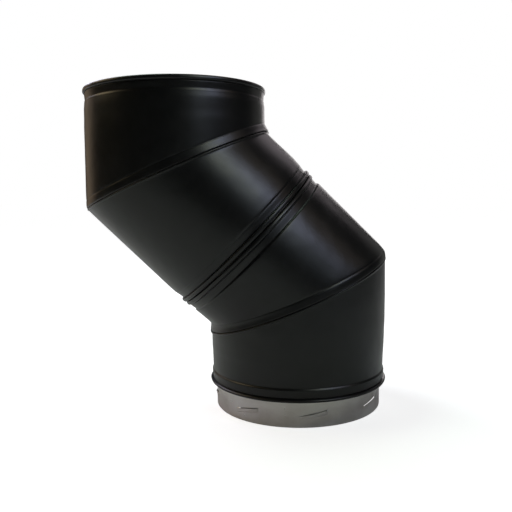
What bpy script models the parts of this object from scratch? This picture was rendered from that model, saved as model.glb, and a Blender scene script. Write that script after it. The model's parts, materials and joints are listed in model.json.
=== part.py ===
"""Adjustable twin-wall flue elbow: two mitred 45 degree half elbows joined by a swivel.

The elbow stands on its spigot in the offset position: both ends are vertical, and the
middle leans towards -X. Each half has a male leg below its mitre and a female leg above
it, and each leg is a steel casing, mineral wool and a steel liner. The upper half turns
on the slanted axis through the swivel.

Every piece of a leg is drawn in that leg's own frame: the axis is +Z, from the centre of
the mitre to the leg's square end, and the heel, its longest side, is at +X.
"""

import math
from typing import NamedTuple

import bmesh
import bpy
from mathutils import Vector

# Driving dimensions, in metres and radians.
BEND = math.radians(45)
BORE_RADIUS = 0.0750
CASING_RADIUS = 0.1000
LINER_SHEET = 0.0006
CASING_SHEET = 0.0008
GAP = 0.0003  # between pieces that touch
SWIVEL_GAP = 0.0008  # between the two hems at the swivel
SEGMENTS = 40  # sides round the tubes
LUG_COUNT = 8
LUG_PHASE = math.radians(3.2)  # how far the lugs are turned from the Y axis

COUPLER_RADIUS = 0.0940
COUPLER_LENGTH = 0.0280
SOCKET_RADIUS = 0.0970
SOCKET_DEPTH = 0.0330
SPIGOT_RECESS = 0.0020  # from the coupler's edge to the liner's
MALE_PLATE_DEPTH = 0.0180  # from the coupler's edge
FEMALE_PLATE_DEPTH = 0.0312  # from the rim
LINER_SOCKET_DEPTH = 0.0120  # from the rim to the liner's edge
PLATE_SHEET = 0.0008
PLATE_FLANGE = 0.0030

MALE_HEM = 0.0012  # how far the hem stands out of the casing
FEMALE_HEM = 0.0006
HEM_HEIGHT = 0.0036
NECK_DEPTH = 0.0019  # how far the groove behind the hem goes in
SEAM_BAND = 0.0085  # width of the flared band at a mitre
SEAM_FLARE = 0.0020
SEAM_TUCK = 0.0038  # how far the male leg goes up inside the band

MITRE = BEND / 2
LINER_OUTSIDE = BORE_RADIUS + LINER_SHEET
LINER_SOCKET = LINER_OUTSIDE + 0.0004
CASING_INSIDE = CASING_RADIUS - CASING_SHEET
HEM_INSIDE = SOCKET_RADIUS + 0.0004

# Where the casing has left its groove, and where it is at full size again.
TAPER_INSET = 0.0150
FULL_INSET = 0.0250
TAPER_RADIUS = CASING_RADIUS - 0.0005


class Half(NamedTuple):
    """The sizes that differ between the two half elbows."""

    male_leg: float
    female_leg: float
    seam_drop: float  # how far below the mitre the band's edge lies, square to it


LOWER = Half(male_leg=0.1062, female_leg=0.0799, seam_drop=0.0073)
UPPER = Half(male_leg=0.1082, female_leg=0.0872, seam_drop=0.0020)
MITRE_HEIGHT = COUPLER_LENGTH + LOWER.male_leg

FINISHES = {
    "powder_coat": {"color": (0.018, 0.018, 0.019), "roughness": 0.42, "metallic": 0.0},
    "stainless": {"color": (0.56, 0.53, 0.50), "roughness": 0.34, "metallic": 1.0},
    "mineral_wool": {"color": (0.42, 0.36, 0.20), "roughness": 0.95, "metallic": 0.0},
    "ceramic_fibre": {"color": (0.80, 0.79, 0.75), "roughness": 0.90, "metallic": 0.0},
}


def clear_scene():
    for obj in list(bpy.data.objects):
        bpy.data.objects.remove(obj)


def material(slot):
    """The named finish as a material, made the first time that it is asked for."""
    made = bpy.data.materials.get(slot)
    if made is None:
        made = bpy.data.materials.new(slot)
        made.use_nodes = True
        shader = made.node_tree.nodes["Principled BSDF"]
        finish = FINISHES[slot]
        shader.inputs["Base Color"].default_value = (*finish["color"], 1.0)
        shader.inputs["Roughness"].default_value = finish["roughness"]
        shader.inputs["Metallic"].default_value = finish["metallic"]
    return made


# Rings: each is a function from an angle round the leg to a point.


def square_ring(radius, height):
    """A circle round the leg's axis."""
    return lambda angle: Vector((radius * math.cos(angle), radius * math.sin(angle), height))


def mitre_ring(radius, offset):
    """A ring parallel to the mitre and offset from it, square to it.

    A positive offset is on this leg. A negative one is past the mitre, where the ring
    follows the other leg, which leans towards -X.
    """
    this_leg = Vector((0, 0, 1))
    other_leg = Vector((-math.sin(BEND), 0, -math.cos(BEND)))
    run = (this_leg if offset > 0 else other_leg) * abs(offset) / math.cos(MITRE)

    def point(angle):
        x = radius * math.cos(angle)
        return Vector((x, radius * math.sin(angle), -x * math.tan(MITRE))) + run

    return point


def mitre_run(start, end):
    """Rings from one (radius, offset) to another, with one on the mitre if they cross it."""
    (first_radius, first), (last_radius, last) = start, end
    rings = [mitre_ring(first_radius, first)]
    if first * last < 0:
        share = first / (first - last)
        rings.append(mitre_ring(first_radius + share * (last_radius - first_radius), 0))
    rings.append(mitre_ring(last_radius, last))
    return rings


# Meshes.


def mesh_object(name, slot, bm):
    bmesh.ops.recalc_face_normals(bm, faces=bm.faces)
    mesh = bpy.data.meshes.new(name)
    bm.to_mesh(mesh)
    bm.free()
    mesh.shade_smooth()
    mesh.set_sharp_from_angle(angle=math.radians(30))
    mesh.materials.append(material(slot))
    obj = bpy.data.objects.new(name, mesh)
    bpy.context.scene.collection.objects.link(obj)
    return obj


def add_loops(bm, loops):
    """Joins closed loops of vertices in order, and the last one back to the first."""
    for here, after in zip(loops, loops[1:] + loops[:1]):
        for k in range(len(here)):
            bm.faces.new((here[k - 1], here[k], after[k], after[k - 1]))


def hollow(name, slot, rings):
    """A tube whose wall has the closed outline that the rings go round."""
    bm = bmesh.new()
    angles = [math.tau * k / SEGMENTS for k in range(SEGMENTS)]
    add_loops(bm, [[bm.verts.new(ring(angle)) for angle in angles] for ring in rings])
    return mesh_object(name, slot, bm)


def place(obj, mitre, male, turn=0.0):
    """Puts a piece drawn in its leg's frame on the male or the female leg of a mitre."""
    obj.parent = mitre
    obj.rotation_euler = (math.pi, 0, turn) if male else (0, -BEND, 0)


# Pieces of a male leg. The casing ends at `length`, and the spigot runs on past it.


def male_casing(name, half):
    end = half.male_leg
    edge = half.seam_drop - SEAM_TUCK
    outside = [
        square_ring(CASING_RADIUS + MALE_HEM - 0.0005, end),
        square_ring(CASING_RADIUS + MALE_HEM, end - HEM_HEIGHT / 3),
        square_ring(CASING_RADIUS + MALE_HEM - 0.0002, end - HEM_HEIGHT * 2 / 3),
        square_ring(CASING_RADIUS - NECK_DEPTH, end - HEM_HEIGHT * 1.4),
        square_ring(CASING_RADIUS - NECK_DEPTH, end - HEM_HEIGHT * 1.8),
        square_ring(TAPER_RADIUS, end - TAPER_INSET),
        *mitre_run((CASING_RADIUS, SEAM_BAND * 2), (CASING_RADIUS, edge)),
    ]
    inside = [
        *mitre_run((CASING_INSIDE, edge), (CASING_INSIDE, SEAM_BAND * 2)),
        square_ring(TAPER_RADIUS - CASING_SHEET, end - TAPER_INSET),
        square_ring(HEM_INSIDE, end - HEM_HEIGHT * 1.8),
        square_ring(HEM_INSIDE, end),
    ]
    return hollow(name, "powder_coat", outside + inside)


def male_liner(name, half):
    tip = half.male_leg + COUPLER_LENGTH - SPIGOT_RECESS
    return hollow(name, "stainless", [
        square_ring(LINER_OUTSIDE, tip),
        mitre_ring(LINER_OUTSIDE, GAP / 2),
        mitre_ring(BORE_RADIUS, GAP / 2),
        square_ring(BORE_RADIUS, tip),
    ])


def male_insulation(name, half):
    end = half.male_leg
    plate = end + COUPLER_LENGTH - MALE_PLATE_DEPTH - PLATE_SHEET - PLATE_FLANGE - GAP
    in_coupler = COUPLER_RADIUS - LINER_SHEET - GAP
    in_neck = SOCKET_RADIUS - LINER_SHEET - GAP
    return hollow(name, "mineral_wool", [
        square_ring(in_coupler, plate),
        square_ring(in_coupler, end - 0.0020),
        square_ring(in_neck, end - 0.0022),
        square_ring(in_neck, end - TAPER_INSET - 2 * GAP),
        square_ring(TAPER_RADIUS - CASING_SHEET - GAP, end - TAPER_INSET - 4 * GAP),
        mitre_ring(CASING_INSIDE - GAP, SEAM_BAND * 2),
        mitre_ring(CASING_INSIDE - GAP, GAP),
        mitre_ring(LINER_OUTSIDE + GAP, GAP),
        square_ring(LINER_OUTSIDE + GAP, plate),
    ])


def coupler_ring(name, half, bead):
    """The spigot: a ring with a rolled edge, stepped out where it is fixed in the casing."""
    end = half.male_leg
    tip = end + COUPLER_LENGTH
    inside = COUPLER_RADIUS - LINER_SHEET
    return hollow(name, "stainless", [
        square_ring(COUPLER_RADIUS + bead - 0.0004, tip),
        square_ring(COUPLER_RADIUS + bead, tip - 0.0006),
        square_ring(COUPLER_RADIUS + bead, tip - 0.0030),
        square_ring(COUPLER_RADIUS, tip - 0.0040),
        square_ring(COUPLER_RADIUS, end - 0.0006),
        square_ring(SOCKET_RADIUS, end - 0.0010),
        square_ring(SOCKET_RADIUS, end - TAPER_INSET),
        square_ring(SOCKET_RADIUS - LINER_SHEET, end - TAPER_INSET),
        square_ring(SOCKET_RADIUS - LINER_SHEET, end - 0.0017),
        square_ring(inside, end - 0.0013),
        square_ring(inside, tip - 0.0030),
        square_ring(inside - 0.0010, tip - 0.0020),
        square_ring(inside - 0.0010, tip),
    ])


def male_plate(name, half):
    """The plate that closes the wool in the spigot. Its flanges point into the wool."""
    face = half.male_leg + COUPLER_LENGTH - MALE_PLATE_DEPTH
    outer = COUPLER_RADIUS - LINER_SHEET - GAP
    return flanged_plate(name, face - PLATE_SHEET, face, -1, LINER_OUTSIDE + GAP, outer)


# Pieces of a female leg.


def female_casing(name, half):
    end = half.female_leg
    edge = -half.seam_drop
    crease = edge + SEAM_BAND
    outside = [
        square_ring(CASING_RADIUS + FEMALE_HEM - 0.0005, end),
        square_ring(CASING_RADIUS + FEMALE_HEM, end - HEM_HEIGHT / 3),
        square_ring(CASING_RADIUS + FEMALE_HEM - 0.0002, end - HEM_HEIGHT * 2 / 3),
        square_ring(CASING_RADIUS - NECK_DEPTH, end - HEM_HEIGHT * 1.4),
        square_ring(CASING_RADIUS - NECK_DEPTH, end - HEM_HEIGHT * 1.8),
        square_ring(TAPER_RADIUS, end - TAPER_INSET),
        square_ring(CASING_RADIUS, end - FULL_INSET),
        *mitre_run((CASING_RADIUS, crease), (CASING_RADIUS + SEAM_FLARE, edge)),
    ]
    inside = [
        *mitre_run((CASING_INSIDE + SEAM_FLARE, edge), (CASING_INSIDE, crease)),
        square_ring(CASING_INSIDE, end - FULL_INSET),
        square_ring(TAPER_RADIUS - CASING_SHEET, end - TAPER_INSET),
        square_ring(HEM_INSIDE, end - HEM_HEIGHT * 1.8),
        square_ring(HEM_INSIDE, end),
    ]
    return hollow(name, "powder_coat", outside + inside)


def female_liner(name, half):
    tip = half.female_leg - LINER_SOCKET_DEPTH
    shoulder = half.female_leg - FEMALE_PLATE_DEPTH - 0.0040
    return hollow(name, "stainless", [
        square_ring(LINER_SOCKET + LINER_SHEET, tip),
        square_ring(LINER_SOCKET + LINER_SHEET, shoulder),
        square_ring(LINER_OUTSIDE, shoulder - 0.0020),
        mitre_ring(LINER_OUTSIDE, GAP / 2),
        mitre_ring(BORE_RADIUS, GAP / 2),
        square_ring(BORE_RADIUS, shoulder - 0.0020),
        square_ring(LINER_SOCKET, shoulder),
        square_ring(LINER_SOCKET, tip),
    ])


def female_insulation(name, half):
    top = half.female_leg - SOCKET_DEPTH - GAP
    shoulder = half.female_leg - FEMALE_PLATE_DEPTH - 0.0040
    return hollow(name, "mineral_wool", [
        square_ring(CASING_INSIDE - GAP, top),
        mitre_ring(CASING_INSIDE - GAP, GAP),
        mitre_ring(LINER_OUTSIDE + GAP, GAP),
        square_ring(LINER_OUTSIDE + GAP, shoulder - 0.0024),
        square_ring(LINER_SOCKET + LINER_SHEET + GAP, shoulder - 0.0004),
        square_ring(LINER_SOCKET + LINER_SHEET + GAP, top),
    ])


def socket_ring(name, half):
    end = half.female_leg
    inside = SOCKET_RADIUS - LINER_SHEET
    return hollow(name, "stainless", [
        square_ring(SOCKET_RADIUS, end - GAP),
        square_ring(SOCKET_RADIUS, end - SOCKET_DEPTH),
        square_ring(inside, end - SOCKET_DEPTH),
        square_ring(inside, end - GAP),
    ])


def female_plate(name, half):
    """The plate that closes the wool under the socket. Its flanges point to the rim."""
    face = half.female_leg - FEMALE_PLATE_DEPTH
    inner = LINER_SOCKET + LINER_SHEET + GAP
    outer = SOCKET_RADIUS - LINER_SHEET - GAP
    return flanged_plate(name, face, face - PLATE_SHEET, 1, inner, outer)


def flanged_plate(name, flange_side, plain_side, turn, inner, outer):
    """An annular plate with a flange round each edge, up the leg (turn 1) or down it (-1)."""
    flange_edge = flange_side + turn * PLATE_FLANGE
    return hollow(name, "stainless", [
        square_ring(inner, plain_side),
        square_ring(inner, flange_edge),
        square_ring(inner + PLATE_SHEET, flange_edge),
        square_ring(inner + PLATE_SHEET, flange_side),
        square_ring(outer - PLATE_SHEET, flange_side),
        square_ring(outer - PLATE_SHEET, flange_edge),
        square_ring(outer, flange_edge),
        square_ring(outer, plain_side),
    ])


# Twist-lock lugs.

LUG_SPAN = math.tau * 2 / SEGMENTS
LUG_RISE = 0.0052  # along its span
LUG_HEIGHT = 0.0040
LUG_CHAMFER = 0.0008


def add_lug(bm, centre_angle, centre_height, rise, root, tip):
    """A helical bar on a ring: four corners at each of three angles, and an end cap each."""
    sections = []
    for share in (-0.5, 0, 0.5):
        angle = centre_angle + share * LUG_SPAN
        middle = centre_height + share * rise
        corners = (
            (root, -LUG_HEIGHT / 2),
            (tip, -LUG_HEIGHT / 2 + LUG_CHAMFER),
            (tip, LUG_HEIGHT / 2 - LUG_CHAMFER),
            (root, LUG_HEIGHT / 2),
        )
        sections.append([
            bm.verts.new(square_ring(radius, middle + height)(angle))
            for radius, height in corners
        ])
    for here, after in zip(sections, sections[1:]):
        for k in range(4):
            bm.faces.new((here[k - 1], here[k], after[k], after[k - 1]))
    bm.faces.new(sections[0])
    bm.faces.new(sections[-1])


def unite_lugs(ring, centre_height, rise, root, tip):
    """Unites eight equal lugs with a ring. The cutter that holds them isn't rendered."""
    bm = bmesh.new()
    for k in range(LUG_COUNT):
        add_lug(bm, math.tau * k / LUG_COUNT, centre_height, rise, root, tip)
    lugs = mesh_object(ring.name + "_lugs", "stainless", bm)
    lugs.hide_render = True
    lugs.display_type = "WIRE"
    lugs.parent = ring
    union = ring.modifiers.new("Lugs", "BOOLEAN")
    union.operation = "UNION"
    union.object = lugs


def male_coupler(name, half):
    """The spigot with its lugs, which climb to the right, seen from outside."""
    ring = coupler_ring(name, half, bead=0.0)
    middle = half.male_leg + COUPLER_LENGTH - 0.0125
    unite_lugs(ring, middle, LUG_RISE, COUPLER_RADIUS - 0.0004, COUPLER_RADIUS + 0.0015)
    return ring


def female_coupler(name, half):
    ring = socket_ring(name, half)
    inside = SOCKET_RADIUS - LINER_SHEET
    middle = half.female_leg - COUPLER_LENGTH + 0.0165
    unite_lugs(ring, middle, LUG_RISE, inside + 0.0001, inside - 0.0015)
    return ring


# The swivel's loose rings, in the lower half's female leg.


def plain_ring(name, slot, inner, outer, low, high):
    return hollow(name, slot, [
        square_ring(outer, high),
        square_ring(outer, low),
        square_ring(inner, low),
        square_ring(inner, high),
    ])


def swivel_snap_ring(name, half):
    """Holds the swivel coupler's bead down in its socket."""
    bead_top = half.female_leg - COUPLER_LENGTH + SWIVEL_GAP + 0.0040
    outer = SOCKET_RADIUS - LINER_SHEET - GAP
    return plain_ring(
        name, "stainless", COUPLER_RADIUS + 0.0005, outer, bead_top + GAP, bead_top + 0.0025
    )


def swivel_seal(name, half):
    plate = half.female_leg - FEMALE_PLATE_DEPTH
    coupler_edge = half.female_leg - COUPLER_LENGTH + SWIVEL_GAP
    outer = SOCKET_RADIUS - LINER_SHEET - PLATE_SHEET - 2 * GAP
    return plain_ring(
        name, "ceramic_fibre", outer - 0.0050, outer, plate + GAP, coupler_edge - GAP
    )


# Assembly.


def empty(name, location, rotation=(0, 0, 0), parent=None):
    obj = bpy.data.objects.new(name, None)
    bpy.context.scene.collection.objects.link(obj)
    obj.location = location
    obj.rotation_euler = rotation
    obj.parent = parent
    return obj


def build_lower_half(mitre):
    for make, name in (
        (male_casing, "lower_collar_casing"),
        (male_liner, "lower_collar_liner"),
        (male_insulation, "lower_collar_insulation"),
        (male_plate, "bottom_end_plate"),
    ):
        place(make(name, LOWER), mitre, male=True)
    place(male_coupler("male_coupler", LOWER), mitre, male=True, turn=LUG_PHASE)
    for make, name in (
        (female_casing, "lower_gore_casing"),
        (female_liner, "lower_gore_liner"),
        (female_insulation, "lower_gore_insulation"),
        (socket_ring, "swivel_socket"),
        (female_plate, "swivel_socket_plate"),
        (swivel_snap_ring, "swivel_snap_ring"),
        (swivel_seal, "swivel_seal"),
    ):
        place(make(name, LOWER), mitre, male=False)


def build_upper_half(mitre):
    for make, name in (
        (male_casing, "upper_gore_casing"),
        (male_liner, "upper_gore_liner"),
        (male_insulation, "upper_gore_insulation"),
        (lambda name, half: coupler_ring(name, half, bead=0.0016), "swivel_coupler"),
        (male_plate, "swivel_coupler_plate"),
    ):
        place(make(name, UPPER), mitre, male=True)
    for make, name in (
        (female_casing, "top_collar_casing"),
        (female_liner, "top_collar_liner"),
        (female_insulation, "top_collar_insulation"),
        (female_coupler, "female_coupler"),
        (female_plate, "top_end_plate"),
    ):
        place(make(name, UPPER), mitre, male=False)


def centre_on_origin(root):
    """Moves the elbow along X, so that the middle of its box is over the origin."""
    bpy.context.view_layer.update()
    across = [
        (obj.matrix_world @ Vector(corner)).x
        for obj in bpy.context.scene.objects
        if obj.type == "MESH"
        for corner in (vertex.co for vertex in obj.data.vertices)
    ]
    root.location.x = -(min(across) + max(across)) / 2


def main():
    clear_scene()
    root = empty("lower_elbow", (0, 0, MITRE_HEIGHT))
    build_lower_half(root)

    # The swivel's axis leaves the lower mitre along the female leg.
    axis = Vector((-math.sin(BEND), 0, math.cos(BEND)))
    swivel_height = LOWER.female_leg + SWIVEL_GAP / 2
    swivel = empty("swivel", axis * swivel_height, (0, -BEND, 0), root)
    upper_mitre = (0, 0, UPPER.male_leg + SWIVEL_GAP / 2)
    build_upper_half(empty("upper_elbow", upper_mitre, (0, 0, math.pi), swivel))
    centre_on_origin(root)


main()
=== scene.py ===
"""The looks of an adjustable twin-wall flue elbow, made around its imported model.

Two mitred half elbows turn on a slanted swivel. Each has a male leg, which ends in a
spigot or in the swivel's upper side, and a female leg, which ends in a socket. Every
piece is drawn in its own leg's frame: +Z runs from the centre of the mitre to the leg's
square end, and the heel, the longest side, is at +X.
"""

import json
import math
from typing import NamedTuple

import bmesh
import bpy
from mathutils import Matrix, Vector


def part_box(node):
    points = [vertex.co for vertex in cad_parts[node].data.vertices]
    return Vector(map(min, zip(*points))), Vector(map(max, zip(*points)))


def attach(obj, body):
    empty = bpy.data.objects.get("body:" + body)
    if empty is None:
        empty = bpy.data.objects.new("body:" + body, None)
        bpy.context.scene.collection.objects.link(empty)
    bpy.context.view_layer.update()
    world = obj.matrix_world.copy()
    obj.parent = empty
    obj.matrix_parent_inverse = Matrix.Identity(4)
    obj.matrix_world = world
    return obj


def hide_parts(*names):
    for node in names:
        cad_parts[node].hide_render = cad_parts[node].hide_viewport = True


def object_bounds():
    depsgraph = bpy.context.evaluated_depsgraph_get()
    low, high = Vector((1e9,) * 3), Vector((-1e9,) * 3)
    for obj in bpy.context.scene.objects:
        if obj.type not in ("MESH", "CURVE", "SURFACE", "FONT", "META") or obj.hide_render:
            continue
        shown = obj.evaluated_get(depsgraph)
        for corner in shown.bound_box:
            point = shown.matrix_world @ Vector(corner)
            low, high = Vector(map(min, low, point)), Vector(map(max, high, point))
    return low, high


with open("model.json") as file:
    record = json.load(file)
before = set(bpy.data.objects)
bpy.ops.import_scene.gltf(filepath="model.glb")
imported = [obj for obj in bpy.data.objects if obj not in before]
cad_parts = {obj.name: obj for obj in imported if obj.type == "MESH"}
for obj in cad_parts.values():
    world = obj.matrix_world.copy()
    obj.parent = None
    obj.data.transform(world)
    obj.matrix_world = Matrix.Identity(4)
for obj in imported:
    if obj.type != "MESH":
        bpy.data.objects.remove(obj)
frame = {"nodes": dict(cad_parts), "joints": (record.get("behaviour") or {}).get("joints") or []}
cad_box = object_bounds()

MM = 0.001

# Sizes that every leg shares, in metres. Those below them are read from the frame.
LINER_SHEET = 0.6 * MM
CASING_SHEET = 0.8 * MM
CLEARANCE = 0.3 * MM
SWIVEL_GAP = 0.8 * MM
COUPLER_LENGTH = 28.0 * MM
SOCKET_DEPTH = 33.0 * MM
SPIGOT_RECESS = 2.0 * MM
LINER_SOCKET_DEPTH = 12.0 * MM
FEMALE_PLATE_DEPTH = 31.2 * MM
MALE_PLATE_DEPTH = 18.0 * MM

SIDES = 192  # round the casings and liners


# The frame.


def middle(node):
    low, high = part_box(node)
    return (low + high) / 2


def half_width(node):
    low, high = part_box(node)
    return (high.y - low.y) / 2


swivel = frame["joints"][0]
pivot = Vector(swivel["pos_m"])
swivel_axis = Vector(swivel["axis"]).normalized()
up = Vector((0, 0, 1))
BEND = swivel_axis.angle(up)
MITRE = BEND / 2

CASING = half_width("top_collar_insulation") + CLEARANCE + CASING_SHEET
LINER = half_width("lower_collar_liner")  # outside
LINER_SOCKET = half_width("top_collar_liner")  # outside
SOCKET = half_width("swivel_socket")  # outside
COUPLER = half_width("bottom_end_plate") + CLEARANCE + LINER_SHEET  # outside


class Leg(NamedTuple):
    body: str
    placement: Matrix  # from the leg's frame to the row frame
    length: float  # from the centre of the mitre to the square end


def make_leg(body, mitre, end, other_end):
    along = (end - mitre).normalized()
    heel = -(along + (other_end - mitre).normalized())
    heel = (heel - heel.dot(along) * along).normalized()
    side = along.cross(heel)
    axes = Matrix((heel, side, along)).transposed().to_4x4()
    return Leg(body, Matrix.Translation(mitre) @ axes, (end - mitre).length)


def point_on_swivel_axis(x):
    return pivot + swivel_axis * ((x - pivot.x) / swivel_axis.x)


lower_mitre = point_on_swivel_axis(middle("male_coupler").x)
upper_mitre = point_on_swivel_axis(middle("female_coupler").x)
bottom_end = Vector((lower_mitre.x, 0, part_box("lower_collar_casing")[0].z))
top_end = Vector((upper_mitre.x, 0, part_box("top_collar_casing")[1].z))
half_gap = swivel_axis * SWIVEL_GAP / 2

lower_collar = make_leg("lower_elbow", lower_mitre, bottom_end, pivot)
lower_gore = make_leg("lower_elbow", lower_mitre, pivot - half_gap, bottom_end)
upper_gore = make_leg("upper_elbow", upper_mitre, pivot + half_gap, top_end)
top_collar = make_leg("upper_elbow", upper_mitre, top_end, pivot)


# Small curves.


def smooth_step(x):
    x = min(1.0, max(0.0, x))
    return x * x * (3 - 2 * x)


def follow(points, x):
    """The height at x of a smooth line through points of (x, height), level past its ends."""
    if x <= points[0][0]:
        return points[0][1]
    for (x0, y0), (x1, y1) in zip(points, points[1:]):
        if x <= x1:
            return y0 + (y1 - y0) * smooth_step((x - x0) / (x1 - x0))
    return points[-1][1]


def mix(a, b, share):
    return tuple(p + (q - p) * share for p, q in zip(a, b))


def round_corners(points, rounds=2):
    """Cuts the corners of an open outline, again and again. Its ends stay."""
    for _ in range(rounds):
        cut = [points[0]]
        for here, after in zip(points, points[1:]):
            cut += [mix(here, after, 0.25), mix(here, after, 0.75)]
        points = [*cut, points[-1]]
    return points


def split_long(points, longest):
    """Adds points, so that no two neighbours are further apart than `longest`."""
    split = [points[0]]
    for here, after in zip(points, points[1:]):
        count = math.ceil(abs(after[0] - here[0]) / longest) or 1
        split += [mix(here, after, k / count) for k in range(1, count + 1)]
    return split


def throat_share(angle):
    """0 at the heel of a leg, 1 at its throat."""
    return (1 - math.cos(angle)) / 2


# Where a ring of a leg lies: each is a function from a radius and an angle to a point.

CORNER = 3.0 * MM  # how softly a ring's line turns at the mitre


def square_place(height):
    return lambda radius, angle: Vector(
        (radius * math.cos(angle), radius * math.sin(angle), height)
    )


def mitre_place(offset, corner=CORNER):
    """Parallel to the mitre, and offset from it, square to it: on this leg if the offset is
    positive, and past the mitre, along the other leg, if it is negative."""
    reach = math.hypot(offset, corner)
    this_run = (reach + offset) / 2 / math.cos(MITRE)
    other_run = (reach - offset) / 2 / math.cos(MITRE)
    other_leg = Vector((-math.sin(BEND), 0, -math.cos(BEND)))
    run = up * this_run + other_leg * other_run

    def point(radius, angle):
        x = radius * math.cos(angle)
        return Vector((x, radius * math.sin(angle), -x * math.tan(MITRE))) + run

    return point


def place_between(first, last, share):
    return lambda radius, angle: first(radius, angle).lerp(last(radius, angle), share)


# Meshes.

WELD_WIDTH = 1.3 * MM
WELD_STEP = 1.0 * MM
WELD_REACH = 5  # steps to each side


def even_angles(count):
    return [math.tau * k / count for k in range(count)]


def ring_angles(radius, weld):
    """Even angles round a ring, with closer ones across the weld."""
    step = WELD_STEP / radius
    close = [weld + k * step for k in range(-WELD_REACH, WELD_REACH + 1)]
    reach = (WELD_REACH + 0.7) * step
    even = even_angles(SIDES)
    kept = [a for a in even if abs(math.remainder(a - weld, math.tau)) > reach]
    return sorted(a % math.tau for a in close + kept)


def weld_rise(angle, weld, radius):
    across = math.remainder(angle - weld, math.tau) * radius
    return math.exp(-((across / WELD_WIDTH) ** 2))


def new_sheet():
    """An empty bmesh, and its UV map "Sheet", in metres: along the girth, and across it."""
    bm = bmesh.new()
    return bm, bm.loops.layers.uv.new("Sheet")


def add_face(bm, layer, corners):
    """A face with corners of (vertex, along the girth, across it)."""
    face = bm.faces.new([vertex for vertex, along, across in corners])
    for loop, (vertex, along, across) in zip(face.loops, corners):
        loop[layer].uv = (along, across)


def loft(rings, angles, radius):
    """A ring of sheet whose closed outline the rings of points go round, in order."""
    bm, layer = new_sheet()
    rings = [[bm.verts.new(point) for point in ring] for ring in rings]
    girth = [angle * radius for angle in (*angles, angles[0] + math.tau)]
    quarter = len(angles) // 4
    near = 0.0
    for here, after in zip(rings, rings[1:] + rings[:1]):
        far = near + (after[quarter].co - here[quarter].co).length
        for k in range(len(angles)):
            turned = (k + 1) % len(angles)
            corners = (
                (here[k], girth[k], near),
                (here[turned], girth[k + 1], near),
                (after[turned], girth[k + 1], far),
                (after[k], girth[k], far),
            )
            add_face(bm, layer, corners)
        near = far
    return bm


def add_piece(node, leg, bm, material):
    """Turns a bmesh in a leg's frame into the piece that stands for a CAD node."""
    name = node + "_detailed"
    bmesh.ops.recalc_face_normals(bm, faces=bm.faces)
    mesh = bpy.data.meshes.new(name)
    bm.to_mesh(mesh)
    bm.free()
    mesh.transform(leg.placement)
    mesh.shade_smooth()
    mesh.set_sharp_from_angle(angle=math.radians(40))
    mesh.materials.append(material)
    piece = bpy.data.objects.new(name, mesh)
    bpy.context.scene.collection.objects.link(piece)
    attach(piece, leg.body)
    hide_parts(node)


# Casings. Their details are outlines in millimetres of what stands out from the nominal
# casing: at an end by the distance from the end's face, and at a seam by the distance
# square to the mitre, with the share of the flare that each point has.

END_ZONE = 16.0
SEAM_ZONE = 13.0
PULL_REACH = 45.0  # from the seam
PULL_START = 9.0  # from the end
PULL_RAMP = 8.0
HEM_RING = 7.0  # from the end, inside the neck
TUBE_RINGS = 16
WELD_HEIGHT = 0.22
SHEET = CASING_SHEET / MM
HEM_INSIDE = (SOCKET + 0.4 * MM - CASING) / MM


class Casing(NamedTuple):
    leg: Leg
    lip: float  # how far the lip at the end stands out
    fold: float  # how far down the lip is folded
    neck: tuple  # how far the neck behind it stands out, near the lip and near the tube
    waist: tuple  # (distance from the end, rise) along the tube, from the end's zone
    pull: float  # how far the seam draws the tube in at the throat
    seam: tuple  # (offset from the mitre, rise, share of the flare), from tube to edge
    flare: tuple  # at the heel and at the throat
    weld: float  # the angle of the longitudinal weld


def end_outline(casing):
    """A folded lip, a fine groove behind it, a neck and a shoulder up to the tube."""
    lip, fold = casing.lip, casing.fold
    near, far = casing.neck
    tube = casing.waist[0][1]
    groove = max(near - 0.7, HEM_INSIDE + 0.15)
    return (
        (0.0, HEM_INSIDE + 0.5),
        (0.0, lip - 1.5),
        (0.5, lip - 0.6),
        (1.7, lip - 0.15),
        (fold - 1.0, lip),
        (fold, lip - 0.9),
        (fold, groove),
        (fold + 0.9, groove),
        (fold + 0.9, near),
        (fold + 1.9, near),
        (11.5, far),
        (12.8, far),
        (14.2, tube - 0.15),
        (END_ZONE, tube),
    )


def female_seam(drop, crease_depth):
    """The upper piece: a crease, then a flared band down to its edge."""
    crease = 9.6 - drop
    edge = 1.5 - drop
    return (
        (SEAM_ZONE, 0.0, 0.0),
        (crease + 1.8, 0.0, 0.0),
        (crease + 0.6, -0.7 * crease_depth, 0.0),
        (crease, -crease_depth, 0.05),
        (crease - 0.6, 0.0, 0.12),
        (crease - 2.0, 0.1, 0.3),
        (edge + 2.2, 0.1, 0.8),
        (edge + 0.7, 0.1, 1.0),
        (edge, -0.1, 1.0),
        (edge, -0.7, 1.0),
    )


def male_seam(drop):
    """The lower piece: its folded edge shows as a bead under the band."""
    return (
        (SEAM_ZONE, 0.0, 0.0),
        (drop + 2.4, 0.0, 0.0),
        (drop + 1.1, 0.0, 0.25),
        (drop + 0.8, 0.4, 1.0),
        (drop - 0.6, 0.4, 1.0),
        (drop - 0.9, 0.0, 0.6),
        (drop - 1.2, -0.5, 0.0),
        (drop - 4.0, -0.5, 0.0),
    )


def seam_pull(casing, angle, height):
    """How far the seam draws the tube in there, in millimetres."""
    from_end = (casing.leg.length - height) / MM
    from_seam = (height + CASING * math.cos(angle) * math.tan(MITRE)) / MM
    pull = casing.pull * throat_share(angle) ** 3
    pull *= 1 - smooth_step(from_seam / PULL_REACH)
    return pull * smooth_step((from_end - PULL_START) / PULL_RAMP)


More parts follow.
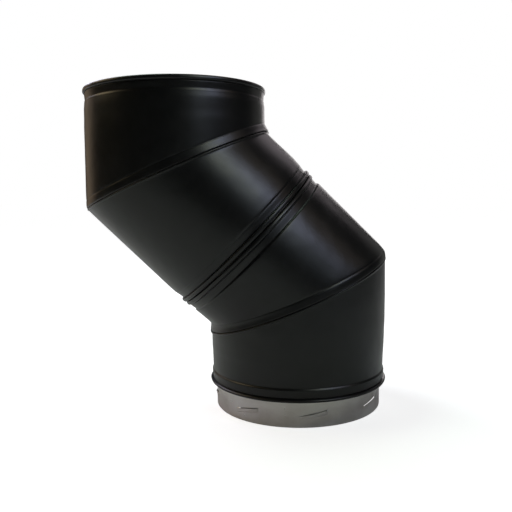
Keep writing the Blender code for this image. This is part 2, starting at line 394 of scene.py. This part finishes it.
def casing_rings(casing, angles, seam, inset, stop=END_ZONE):
    """Rings of points from a casing's seam along its tube, `inset` in from its outside, to
    a ring at the distance `stop` from its end."""
    heel_flare, throat_flare = casing.flare
    rows = [(mitre_place(offset * MM), rise, share) for offset, rise, share in reversed(seam)]
    last = square_place(casing.leg.length - stop * MM)
    between = [place_between(rows[-1][0], last, k / TUBE_RINGS) for k in range(1, TUBE_RINGS)]
    rows += [(place, 0.0, 0.0) for place in (*between, last)]
    rings = []
    for place, rise, share in rows:
        ring = []
        for angle in angles:
            height = place(CASING, angle).z
            out = rise - inset
            out += follow(casing.waist, (casing.leg.length - height) / MM)
            out += seam_pull(casing, angle, height)
            out += share * (heel_flare + (throat_flare - heel_flare) * throat_share(angle) ** 2)
            out += WELD_HEIGHT * weld_rise(angle, casing.weld, CASING)
            ring.append(place(CASING + out * MM, angle))
        rings.append(ring)
    return rings


def end_rings(casing, angles):
    """Rings of points over a casing's end, from its tube to the end's face."""
    rings = []
    outline = split_long(round_corners(end_outline(casing)), 2.0)
    for distance, rise in reversed(outline[:-1]):
        height = casing.leg.length - distance * MM
        place = square_place(height)
        ring = []
        for angle in angles:
            out = rise + seam_pull(casing, angle, height)
            out += WELD_HEIGHT * weld_rise(angle, casing.weld, CASING)
            ring.append(place(CASING + out * MM, angle))
        rings.append(ring)
    return rings


def ring_of(leg, angles, radius, from_end):
    place = square_place(leg.length - from_end)
    return [place(radius, angle) for angle in angles]


def make_casing(name, casing, material):
    angles = ring_angles(CASING, casing.weld)
    rings = casing_rings(casing, angles, split_long(round_corners(casing.seam), 1.2), 0.0)
    rings += end_rings(casing, angles)
    inside = CASING + HEM_INSIDE * MM
    rings += [ring_of(casing.leg, angles, inside, d * MM) for d in (0.0, HEM_RING, END_ZONE)]
    rings += reversed(casing_rings(casing, angles, casing.seam, SHEET))
    add_piece(name, casing.leg, loft(rings, angles, CASING), material)


def make_insulation(name, casing, stop, around, material):
    """Fills a casing up to the distance `stop` from its end, and then goes round its end
    and back along the liner through points of (radius, distance from the end)."""
    angles = even_angles(SIDES)
    leg = casing.leg
    mitre_edge = ((CLEARANCE / MM, 0.0, 0.0),)
    rings = casing_rings(casing, angles, mitre_edge, SHEET + CLEARANCE / MM, stop)
    rings += [ring_of(leg, angles, radius, from_end) for radius, from_end in around]
    mitre = mitre_place(CLEARANCE, corner=0.0)
    rings.append([mitre(LINER + CLEARANCE, angle) for angle in angles])
    add_piece(name, leg, loft(rings, angles, CASING), material)


# Liners.

LINER_WELD = 0.25 * MM
MITRE_WELD = 0.35 * MM

# (distance from the mitre in millimetres, share of the mitre weld)
MITRE_ROWS = ((0.15, 1.0), (0.5, 0.9), (1.0, 0.5), (1.6, 0.1), (2.2, 0.0), (12.0, 0.0))


def make_liner(name, leg, outside, weld, material):
    """A liner whose outside is points of (radius, distance from the end), from its tip."""
    angles = ring_angles(LINER, weld)

    def square_rows(inset, weld_height):
        rings = []
        for radius, from_end in outside:
            place = square_place(leg.length - from_end)
            rise = [weld_height * weld_rise(angle, weld, LINER) - inset for angle in angles]
            rings.append([place(radius + r, angle) for r, angle in zip(rise, angles)])
        return rings

    def seam_rows(inset, weld_height, mitre_weld):
        rings = []
        for offset, share in MITRE_ROWS:
            place = mitre_place(offset * MM, corner=0.0)
            rise = [
                weld_height * weld_rise(angle, weld, LINER) + mitre_weld * share - inset
                for angle in angles
            ]
            rings.append([place(LINER + r, angle) for r, angle in zip(rise, angles)])
        return rings

    rings = square_rows(0.0, 0.0)
    rings += reversed(seam_rows(0.0, 0.0, 0.0))
    rings += seam_rows(LINER_SHEET, -LINER_WELD, -MITRE_WELD)
    rings += reversed(square_rows(LINER_SHEET, -LINER_WELD))
    add_piece(name, leg, loft(rings, angles, LINER), material)


# Plates.

PLATE_SHEET = 0.8 * MM
PLATE_FLANGE = 3.0 * MM


def make_plate(name, leg, face, turn, inner, outer, material):
    """An annular plate with a flange round each edge, up the leg (turn 1) or down it (-1).
    Its plain face is at the height `face`."""
    sheet = PLATE_SHEET
    flange = PLATE_SHEET + PLATE_FLANGE
    outline = (
        (inner, 0.7 * flange),
        (inner, 0.0),
        (outer, 0.0),
        (outer, flange),
        (outer - sheet, flange),
        (outer - sheet, sheet),
        (inner + sheet, sheet),
        (inner + sheet, flange),
        (inner, flange),
        (inner, 0.7 * flange),
    )
    angles = even_angles(SIDES)
    rings = []
    for radius, depth in round_corners(outline, 3)[:-1]:
        place = square_place(face + turn * depth)
        rings.append([place(radius, angle) for angle in angles])
    add_piece(name, leg, loft(rings, angles, outer), material)


# Couplers: rings of thin sheet, each with eight lugs lanced out of it.

LUG_COUNT = 8
LUG_PITCH = math.tau / LUG_COUNT
LUG_PHASE = math.radians(-3.2)
LUG_REACH = math.radians(10.2)  # to each side, with the sheet that it deforms
LUG_SLOPE = 5.2 * MM / math.radians(18)
LUG_LIFT = 1.5 * MM
LUG_TOP = 2.0  # from the lug's middle, away from the coupler's edge, in millimetres
LUG_FOOT = -2.2
LUG_ROWS = (-4.5, -3.3, -2.5, LUG_FOOT, -1.9, -1.5, -1.2, -0.4, 0.6, 1.4, LUG_TOP, 2.6, 3.7, 5.5)
LUG_ACROSS = ((LUG_FOOT, 0.0), (-1.2, 0.6), (LUG_TOP, 1.0))
LUG_ALONG = ((-9.4, 0.0), (-8.0, 1.0), (8.0, 0.45), (9.4, 0.0))  # by degrees
SLOT = (math.radians(-8.6), math.radians(6.5))
LUG_COLUMNS = 17  # to each side of a lug's middle
GAP_COLUMNS = 10  # between two lugs
LUG_HOLD = 3.7  # rows as near as this to a lug's middle climb with it
LUG_FADE = 6.0  # and over this further distance they level out
SPIGOT_LUG_MIDDLE = 12.5  # from the coupler's edge, in millimetres
SOCKET_LUG_MIDDLE = 11.5


def lug_columns():
    """Angles from a lug's middle: close over the lug, and wide up to the next one."""
    close = [LUG_REACH * k / LUG_COLUMNS for k in range(-LUG_COLUMNS, LUG_COLUMNS + 1)]
    gap = LUG_PITCH - 2 * LUG_REACH
    wide = [LUG_REACH + gap * k / GAP_COLUMNS for k in range(1, GAP_COLUMNS)]
    return close + wide


def lug_climb(along):
    """How far the sheet's rows climb at an angle from a lug's middle."""
    top = LUG_SLOPE * LUG_REACH
    if along <= LUG_REACH:
        return LUG_SLOPE * along
    return top * math.cos(math.pi * (along - LUG_REACH) / (LUG_PITCH - 2 * LUG_REACH))


def lug_lift(along, row):
    if not LUG_FOOT < row <= LUG_TOP:
        return 0.0
    return follow(LUG_ALONG, math.degrees(along)) * follow(LUG_ACROSS, row)


def make_coupler(name, leg, edge, path, lug_middle, phase, outward, material):
    """A coupler whose open edge is at the height `edge`. Its outside follows a path of
    (distance from the edge, radius) in millimetres, and its lugs stand out or in."""
    rows = [(depth, radius, depth - lug_middle) for depth, radius in path]
    radius_there = follow(path, lug_middle)
    rows += [(lug_middle + row, radius_there, row) for row in LUG_ROWS]
    rows.sort()
    columns = [
        (k * LUG_PITCH + phase + along, along)
        for k in range(LUG_COUNT)
        for along in lug_columns()
    ]
    bm, layer = new_sheet()
    grid = []
    for depth, radius, row in rows:
        held = 1 - smooth_step((abs(row) - LUG_HOLD) / LUG_FADE)
        ring = []
        for angle, along in columns:
            lift = outward * LUG_LIFT * lug_lift(along, row)
            height = edge - depth * MM + held * lug_climb(along)
            ring.append(bm.verts.new(square_place(height)(radius * MM + lift, angle)))
        grid.append(ring)
    for here, after, (near, _, row), (far, _, _) in zip(grid, grid[1:], rows, rows[1:]):
        for k, (angle, along) in enumerate(columns):
            turned = (k + 1) % len(columns)
            step = (columns[turned][0] - angle) % math.tau
            if row == LUG_TOP and SLOT[0] < along < SLOT[1]:
                continue
            start = angle * radius_there * MM
            end = (angle + step) * radius_there * MM
            corners = (
                (here[k], start, near * MM),
                (here[turned], end, near * MM),
                (after[turned], end, far * MM),
                (after[k], start, far * MM),
            )
            add_face(bm, layer, corners)
    bmesh.ops.recalc_face_normals(bm, faces=bm.faces)
    bmesh.ops.solidify(bm, geom=bm.faces[:], thickness=LINER_SHEET)
    add_piece(name, leg, bm, material)


# Materials.


class Graph:
    """The node tree of a new material, with short ways to add to it."""

    def __init__(self, name, coordinates):
        self.material = bpy.data.materials.new(name)
        self.material.use_nodes = True
        self.tree = self.material.node_tree
        self.shader = self.tree.nodes["Principled BSDF"]
        if coordinates == "Sheet":
            sheet = self.add("ShaderNodeUVMap", {})
            sheet.uv_map = "Sheet"
            self.where = sheet.outputs["UV"]
        else:
            self.where = self.add("ShaderNodeTexCoord", {}).outputs[coordinates]

    def add(self, kind, values):
        node = self.tree.nodes.new(kind)
        for socket, value in values.items():
            self.put(node, socket, value)
        return node

    def put(self, node, socket, value):
        if isinstance(value, bpy.types.NodeSocket):
            self.tree.links.new(value, node.inputs[socket])
        else:
            node.inputs[socket].default_value = value

    def shade(self, **values):
        for socket, value in values.items():
            self.put(self.shader, socket.replace("_", " "), value)

    def noise(self, scale, detail=2.0, stretch=(1.0, 1.0, 1.0)):
        """Noise of `scale` waves per metre, drawn out along the axes with a low stretch."""
        mapping = self.add("ShaderNodeMapping", {"Vector": self.where, "Scale": stretch})
        values = {"Vector": mapping.outputs["Vector"], "Scale": scale, "Detail": detail}
        return self.add("ShaderNodeTexNoise", values).outputs["Fac"]

    def spread(self, fac, low, high, start=0.3, end=0.7):
        """Takes a factor's range from start to end to the one from low to high."""
        names = ("Value", "From Min", "From Max", "To Min", "To Max")
        return self.add("ShaderNodeMapRange", dict(zip(names, (fac, start, end, low, high)))).outputs[0]

    def ramp(self, fac, *stops):
        node = self.add("ShaderNodeValToRGB", {"Fac": fac})
        elements = node.color_ramp.elements
        while len(elements) < len(stops):
            elements.new(0.5)
        for element, (position, color) in zip(elements, stops):
            element.position = position
            element.color = (*color, 1.0)
        return node.outputs["Color"]

    def bump(self, height, distance, normal=None):
        values = {"Height": height, "Distance": distance, "Strength": 1.0}
        if normal:
            values["Normal"] = normal
        return self.add("ShaderNodeBump", values).outputs["Normal"]


def powder_coat(name):
    """Satin black: a fine orange peel over sheet that isn't quite flat."""
    graph = Graph(name, "Object")
    sheet = graph.bump(graph.noise(22.0, 2.0), 0.9 * MM)
    peel = graph.bump(graph.noise(1500.0, 1.0), 0.012 * MM, normal=sheet)
    colour = graph.ramp(
        graph.noise(60.0, 4.0),
        (0.3, (0.0070, 0.0070, 0.0072)),
        (0.7, (0.0095, 0.0094, 0.0094)),
    )
    graph.shade(
        Base_Color=colour,
        Roughness=graph.spread(graph.noise(45.0, 5.0), 0.30, 0.36),
        Specular_IOR_Level=0.5,
        Normal=peel,
    )
    return graph.material


def rolled_steel(name):
    """Stainless sheet: fine lines along its girth, under faint clouds of handling."""
    graph = Graph(name, "Sheet")
    lines = graph.noise(1.0, 3.0, stretch=(30.0, 2600.0, 1.0))
    clouds = graph.noise(38.0, 5.0, stretch=(0.6, 1.0, 1.0))
    wave = graph.bump(graph.noise(18.0, 2.0, stretch=(1.0, 0.5, 1.0)), 0.5 * MM)
    colour = graph.ramp(
        clouds,
        (0.30, (0.60, 0.56, 0.53)),
        (0.52, (0.78, 0.75, 0.72)),
        (0.74, (0.88, 0.86, 0.84)),
    )
    graph.shade(
        Base_Color=colour,
        Metallic=1.0,
        Roughness=graph.spread(graph.noise(90.0, 5.0), 0.27, 0.40),
        Anisotropic=0.5,
        Normal=graph.bump(lines, 0.004 * MM, normal=wave),
    )
    return graph.material


def shaded_inner_steel(name):
    """The steel of the swivel's inner parts, painted nearly black: painted shade for the inside of the
    closed-in swivel.
    """
    graph = Graph(name, "Object")
    # Painted shade: the base colour is nearly black, for the shade inside the swivel that shows through
    # its gap.
    colour = graph.ramp(
        graph.noise(50.0, 5.0),
        (0.3, (0.050, 0.046, 0.042)),
        (0.7, (0.090, 0.084, 0.078)),
    )
    graph.shade(
        Base_Color=colour,
        Metallic=1.0,
        Roughness=graph.spread(graph.noise(120.0, 4.0), 0.30, 0.45),
        Normal=graph.bump(graph.noise(900.0, 2.0), 0.01 * MM),
    )
    return graph.material


def fibres(name, dark, light, tuft):
    """Felted fibres in tufts of about `tuft` metres."""
    graph = Graph(name, "Object")
    clumps = graph.noise(1 / tuft, 6.0)
    strands = graph.noise(4 / tuft, 4.0, stretch=(1.0, 1.0, 0.2))
    graph.shade(
        Base_Color=graph.ramp(strands, (0.3, dark), (0.7, light)),
        Roughness=graph.spread(clumps, 0.85, 1.0),
        Normal=graph.bump(strands, 0.6 * MM, normal=graph.bump(clumps, 1.5 * MM)),
    )
    return graph.material


black = powder_coat("powder_coat_black")
steel = rolled_steel("stainless_rolled")
# Painted shade: the swivel's inner steel is made nearly black.
painted_shade_steel = shaded_inner_steel("stainless_painted_shade")
wool = fibres("mineral_wool", (0.30, 0.25, 0.12), (0.52, 0.46, 0.28), 9 * MM)
felt = fibres("ceramic_fibre", (0.70, 0.69, 0.65), (0.86, 0.85, 0.82), 4 * MM)


# The pieces.


def back_of(leg):
    """The angle round a leg that faces the back, +Y, where its weld is."""
    back = leg.placement.to_3x3().inverted() @ Vector((0, 1, 0))
    return math.atan2(back.y, back.x)


LOWER_DROP = 7.3
UPPER_DROP = 2.0

casings = {
    "lower_collar_casing": Casing(
        leg=lower_collar,
        lip=0.95,
        fold=3.4,
        neck=(-1.7, -1.1),
        waist=(
            (16, -2.25), (24, -2.1), (32, -1.8), (42, -1.05), (58, -0.55), (72, 0.0), (100, 0.3)
        ),
        pull=-1.0,
        seam=male_seam(LOWER_DROP),
        flare=(0.4, 1.3),
        weld=back_of(lower_collar),
    ),
    "lower_gore_casing": Casing(
        leg=lower_gore,
        lip=1.0,
        fold=4.7,
        neck=(-1.1, -1.5),
        waist=((16, 0.4), (40, 0.4)),
        pull=-2.7,
        seam=female_seam(LOWER_DROP, 0.3),
        flare=(0.4, 2.2),
        weld=back_of(lower_gore),
    ),
    "upper_gore_casing": Casing(
        leg=upper_gore,
        lip=1.6,
        fold=4.8,
        neck=(-1.3, -0.5),
        waist=((16, 0.2), (26, 0.6)),
        pull=-1.2,
        seam=male_seam(UPPER_DROP),
        flare=(0.4, 1.5),
        weld=back_of(upper_gore),
    ),
    "top_collar_casing": Casing(
        leg=top_collar,
        lip=0.1,
        fold=4.7,
        neck=(-1.7, -2.2),
        waist=((16, -1.6), (20, -1.05), (30, -0.9), (44, -0.4), (60, -0.3), (76, 0.0), (115, 0.5)),
        pull=-0.6,
        seam=female_seam(UPPER_DROP, 0.2),
        flare=(0.4, 2.6),
        weld=back_of(top_collar),
    ),
}
for name, casing in casings.items():
    make_casing(name, casing, black)

in_coupler = COUPLER - LINER_SHEET - CLEARANCE
in_neck = SOCKET - LINER_SHEET - CLEARANCE
spigot_wool_end = MALE_PLATE_DEPTH + PLATE_SHEET + PLATE_FLANGE + CLEARANCE - COUPLER_LENGTH
male_wool = (
    (in_neck, 15.8 * MM),
    (in_neck, 2.2 * MM),
    (in_coupler, 2.0 * MM),
    (in_coupler, spigot_wool_end),
    (LINER + CLEARANCE, spigot_wool_end),
)
bell_foot = FEMALE_PLATE_DEPTH + 4.0 * MM
socket_wool_end = SOCKET_DEPTH + CLEARANCE
female_wool = (
    (LINER_SOCKET + CLEARANCE, socket_wool_end),
    (LINER_SOCKET + CLEARANCE, bell_foot + 0.4 * MM),
    (LINER + CLEARANCE, bell_foot + 2.4 * MM),
)
spigot_tip = SPIGOT_RECESS - COUPLER_LENGTH
male_liner_outside = (
    (LINER - 0.2 * MM, spigot_tip),
    (LINER, spigot_tip + 0.3 * MM),
    (LINER, spigot_tip + 12.0 * MM),
    (LINER, 0.0),
)
female_liner_outside = (
    (LINER_SOCKET + 0.25 * MM, LINER_SOCKET_DEPTH),
    (LINER_SOCKET, LINER_SOCKET_DEPTH + 0.8 * MM),
    (LINER_SOCKET, bell_foot - 0.8 * MM),
    (LINER_SOCKET - 0.15 * MM, bell_foot),
    (LINER + 0.15 * MM, bell_foot + 2.0 * MM),
    (LINER, bell_foot + 2.8 * MM),
)
for half in ("lower_collar", "upper_gore"):
    casing = casings[half + "_casing"]
    make_insulation(half + "_insulation", casing, END_ZONE, male_wool, wool)
    make_liner(half + "_liner", casing.leg, male_liner_outside, casing.weld, steel)
for half in ("lower_gore", "top_collar"):
    casing = casings[half + "_casing"]
    make_insulation(half + "_insulation", casing, socket_wool_end / MM, female_wool, wool)
    make_liner(half + "_liner", casing.leg, female_liner_outside, casing.weld, steel)

spigot_edge = lower_collar.length + COUPLER_LENGTH
make_plate(
    "bottom_end_plate",
    lower_collar,
    face=spigot_edge - MALE_PLATE_DEPTH,
    turn=-1,
    inner=LINER + CLEARANCE,
    outer=in_coupler,
    material=steel,
)
make_plate(
    "top_end_plate",
    top_collar,
    face=top_collar.length - FEMALE_PLATE_DEPTH - PLATE_SHEET,
    turn=1,
    inner=LINER_SOCKET + CLEARANCE,
    outer=in_neck,
    material=steel,
)

spigot_radius = COUPLER / MM
socket_radius = SOCKET / MM
spigot_path = (
    (0.0, spigot_radius - 0.65),
    (0.15, spigot_radius - 0.3),
    (0.5, spigot_radius - 0.07),
    (1.0, spigot_radius),
    (2.5, spigot_radius),
    (4.5, spigot_radius),
    (6.5, spigot_radius),
    (20.5, spigot_radius),
    (23.5, spigot_radius),
    (26.5, spigot_radius),
    (27.9, spigot_radius),
    (28.4, spigot_radius + 0.15),
    (28.7, spigot_radius + 0.5),
    (28.8, spigot_radius + 1.1),
    (28.9, socket_radius - 1.0),
    (29.1, socket_radius - 0.4),
    (29.6, socket_radius),
    (36.0, socket_radius),
    (43.0, socket_radius),
)
make_coupler(
    "male_coupler",
    lower_collar,
    spigot_edge,
    spigot_path,
    lug_middle=SPIGOT_LUG_MIDDLE,
    phase=LUG_PHASE,
    outward=1,
    material=steel,
)
socket_path = tuple(
    (depth, socket_radius) for depth in (0.3, 1.5, 3.0, 5.0, 19.5, 23.0, 27.0, 31.0, 33.0)
)
make_coupler(
    "female_coupler",
    top_collar,
    top_collar.length,
    socket_path,
    lug_middle=SOCKET_LUG_MIDDLE,
    phase=0.0,
    outward=-1,
    material=steel,
)

# The swivel's inner parts are closed in, and stay as the model has them. Their steel is painted nearly
# black as painted shade.
for node, material in (
    ("swivel_socket", painted_shade_steel),
    ("swivel_socket_plate", painted_shade_steel),
    ("swivel_snap_ring", painted_shade_steel),
    ("swivel_seal", felt),
    ("swivel_coupler", painted_shade_steel),
    ("swivel_coupler_plate", painted_shade_steel),
):
    frame["nodes"][node].data.materials.clear()
    frame["nodes"][node].data.materials.append(material)


# The studio. Its lengths are in metres.

FLOOR_SIZE = 40.0
FLOOR_GLOW = 0.75  # near the elbow
GLOW_NEAR = 0.3  # the glow rises from this distance
GLOW_FAR = 2.0  # and is full from this one

CAMERA_TURNS = (3.026, -5.498, -0.868)  # yaw, pitch and roll, in degrees
CAMERA_LENS = 42.851  # in millimetres, for a sensor 36 mm wide
CAMERA_PLACE = (-0.016800, -0.695971, 0.236464)

# The panels: a name, azimuth and elevation in degrees, side, and radiance.
PANEL_DISTANCE = 1.6
PANELS = (
    ("key_low", 33, 24, 0.42, (1.1, 1.25, 1.45)),
    ("key_high", 33, 40, 0.42, (4.2, 4.6, 3.6)),
    ("key_side", 48, 34, 0.42, (3.2, 3.6, 5.1)),
    ("right", 65, 38, 0.75, (0.40, 0.30, 0.20)),
    ("right_behind", 140, 38, 0.75, (0.74, 0.66, 0.70)),
    ("right_rim", 130, 8, 0.75, (0.19, 0.19, 0.18)),
    ("backdrop", 165, 8, 0.75, (1.9, 1.8, 1.8)),
    ("left_rim", -130, 8, 0.75, (0.47, 0.35, 0.24)),
    ("left", -100, 38, 0.75, (2.5, 2.0, 1.2)),
    ("left_behind", -140, 38, 0.75, (5.0, 4.8, 5.8)),
    ("overhead", -120, 68, 0.75, (4.8, 6.1, 5.2)),
)

middle_of_elbow = (cad_box[0] + cad_box[1]) / 2


def make_floor():
    """Pale, and lit up to white where the camera sees it, apart from the faint shadow. It
    isn't there from below."""
    graph = Graph("studio_floor", "Object")
    rays = graph.add("ShaderNodeLightPath", {})
    side = graph.add("ShaderNodeNewGeometry", {})
    far = graph.add("ShaderNodeVectorMath", {"Vector": graph.where})
    far.operation = "LENGTH"
    glow = graph.spread(far.outputs["Value"], FLOOR_GLOW, 1.0, GLOW_NEAR, GLOW_FAR)
    graph.shade(
        Base_Color=graph.ramp(graph.noise(3.0), (0.0, (0.59,) * 3), (1.0, (0.61,) * 3)),
        Roughness=0.9,
        Specular_IOR_Level=0.1,
        Emission_Color=(1.0, 1.0, 1.0, 1.0),
        Emission_Strength=graph.spread(rays.outputs["Is Camera Ray"], 0.0, glow, 0.0, 1.0),
        Alpha=graph.spread(side.outputs["Backfacing"], 1.0, 0.0, 0.0, 1.0),
    )
    bpy.ops.mesh.primitive_plane_add(size=FLOOR_SIZE, location=(0, 0, 0))
    floor = bpy.context.object
    floor.name = "studio_floor"
    floor.data.materials.append(graph.material)


def make_world():
    """A white backdrop for the camera. The panels alone light the elbow."""
    world = bpy.data.worlds.new("studio")
    bpy.context.scene.world = world
    world.use_nodes = True
    tree = world.node_tree
    rays = tree.nodes.new("ShaderNodeLightPath")
    tree.links.new(rays.outputs["Is Camera Ray"], tree.nodes["Background"].inputs["Strength"])
    tree.nodes["Background"].inputs["Color"].default_value = (1.0, 1.0, 1.0, 1.0)


def make_panel(name, azimuth, elevation, side, radiance):
    """A square soft panel that faces the elbow. Azimuth 0 is straight in front, and 90 is to
    the right. The radiance is in red, green and blue."""
    turn = math.radians(azimuth)
    rise = math.radians(elevation)
    direction = Vector(
        (math.sin(turn) * math.cos(rise), -math.cos(turn) * math.cos(rise), math.sin(rise))
    )
    light = bpy.data.lights.new(name, "AREA")
    light.shape = "SQUARE"
    light.size = side
    light.energy = math.pi * side * side
    light.color = radiance
    panel = bpy.data.objects.new(name, light)
    turned = direction.to_track_quat("Z", "Y").to_matrix().to_4x4()
    place = middle_of_elbow + direction * PANEL_DISTANCE
    panel.matrix_world = Matrix.Translation(place) @ turned
    bpy.context.scene.collection.objects.link(panel)


def make_camera():
    """Stands in front of the elbow, a little left of its middle, and looks slightly down."""
    yaw, pitch, roll = (math.radians(angle) for angle in CAMERA_TURNS)
    forward = Vector(
        (math.sin(yaw) * math.cos(pitch), math.cos(yaw) * math.cos(pitch), math.sin(pitch))
    )
    level = Vector((math.cos(yaw), -math.sin(yaw), 0))
    across = Matrix.Rotation(-roll, 3, forward) @ level
    axes = Matrix((across, across.cross(forward), -forward)).transposed().to_4x4()
    camera = bpy.data.cameras.new("camera")
    camera.sensor_width = 36.0
    camera.lens = CAMERA_LENS
    camera.clip_start = 0.01
    seen_from = bpy.data.objects.new("camera", camera)
    seen_from.matrix_world = Matrix.Translation(CAMERA_PLACE) @ axes
    bpy.context.scene.collection.objects.link(seen_from)
    bpy.context.scene.camera = seen_from


make_floor()
make_world()
for panel in PANELS:
    make_panel(*panel)
make_camera()
bpy.context.scene.view_settings.view_transform = "Standard"
